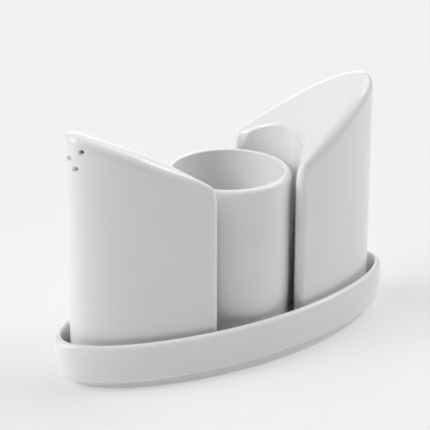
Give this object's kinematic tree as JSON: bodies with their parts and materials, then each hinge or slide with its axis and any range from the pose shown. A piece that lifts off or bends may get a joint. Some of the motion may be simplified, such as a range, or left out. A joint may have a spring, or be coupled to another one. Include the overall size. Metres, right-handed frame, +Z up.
{
  "type": "salt and pepper set",
  "caption": "White porcelain salt and pepper shakers with slanted tops that stand on an oval tray around a toothpick holder.",
  "frame": {"origin": "on the table, under the middle of the tray", "axes": "+X runs along the tray from the salt shaker to the pepper shaker, -Y is the front, +Z is up"},
  "size_m": [0.1328, 0.0528, 0.0872],
  "materials": {
    "porcelain": "glossy white glaze",
    "silicone": "matt translucent white"
  },
  "bodies": {
    "tray": {"tray": "porcelain"},
    "toothpick_holder": {"toothpick_holder": "porcelain"},
    "salt_shaker": {"salt_shaker_body": "porcelain"},
    "pepper_shaker": {"pepper_shaker_body": "porcelain"},
    "salt_stopper": {"salt_stopper": "silicone"},
    "pepper_stopper": {"pepper_stopper": "silicone"}
  },
  "joints": [
    {"name": "toothpick_holder_lift", "type": "slide", "parent": "tray", "child": "toothpick_holder", "axis": [0, 0, 1], "range_m": [0, 0.12]},
    {"name": "salt_shaker_lift", "type": "slide", "parent": "tray", "child": "salt_shaker", "axis": [0, 0, 1], "range_m": [0, 0.12]},
    {"name": "pepper_shaker_lift", "type": "slide", "parent": "tray", "child": "pepper_shaker", "axis": [0, 0, 1], "range_m": [0, 0.12]},
    {"name": "salt_stopper_pull", "type": "slide", "parent": "salt_shaker", "child": "salt_stopper", "axis": [0, 0, -1], "range_m": [0, 0.02]},
    {"name": "pepper_stopper_pull", "type": "slide", "parent": "pepper_shaker", "child": "pepper_stopper", "axis": [0, 0, -1], "range_m": [0, 0.02]}
  ],
  "couplings": [
    {"joint": "salt_stopper_pull", "follows": "salt_shaker_lift", "ratio": 0.16666},
    {"joint": "pepper_stopper_pull", "follows": "pepper_shaker_lift", "ratio": 0.16666}
  ]
}
